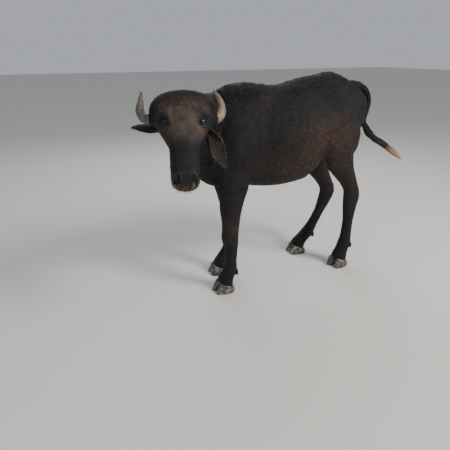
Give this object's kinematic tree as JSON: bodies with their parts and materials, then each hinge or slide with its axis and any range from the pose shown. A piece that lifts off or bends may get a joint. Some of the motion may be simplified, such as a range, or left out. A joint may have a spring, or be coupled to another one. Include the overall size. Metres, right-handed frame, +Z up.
{
  "type": "water buffalo",
  "caption": "Lean young water buffalo cow standing with her head turned to one side, short curved horns, low ears and a long tail swung out behind her.",
  "frame": {"origin": "middle of the footprint of the whole animal, on the floor", "axes": "+X forward along the body, +Y to her left, +Z up"},
  "size_m": [1.922, 0.81, 1.2972],
  "materials": {
    "hide": "coarse short hair over dark skin",
    "horn": "dull ridged horn",
    "hoof": "worn horn with dried mud",
    "eye": "wet",
    "tail_hair": "coarse long hair"
  },
  "bodies": {
    "root": {"foreleg_left": "hide", "foreclaw_left_outer": "hoof", "foreclaw_left_inner": "hoof", "foreleg_right": "hide", "foreclaw_right_inner": "hoof", "foreclaw_right_outer": "hoof", "hindleg_left": "hide", "hindclaw_left_outer": "hoof", "hindclaw_left_inner": "hoof", "hindleg_right": "hide", "hindclaw_right_inner": "hoof", "hindclaw_right_outer": "hoof", "neck": "hide", "head": "hide", "torso": "hide", "ear_left": "hide", "horn_left": "horn", "eye_left": "eye", "ear_right": "hide", "horn_right": "horn", "eye_right": "eye", "tail": "hide", "tail_switch": "tail_hair"}
  },
  "joints": []
}
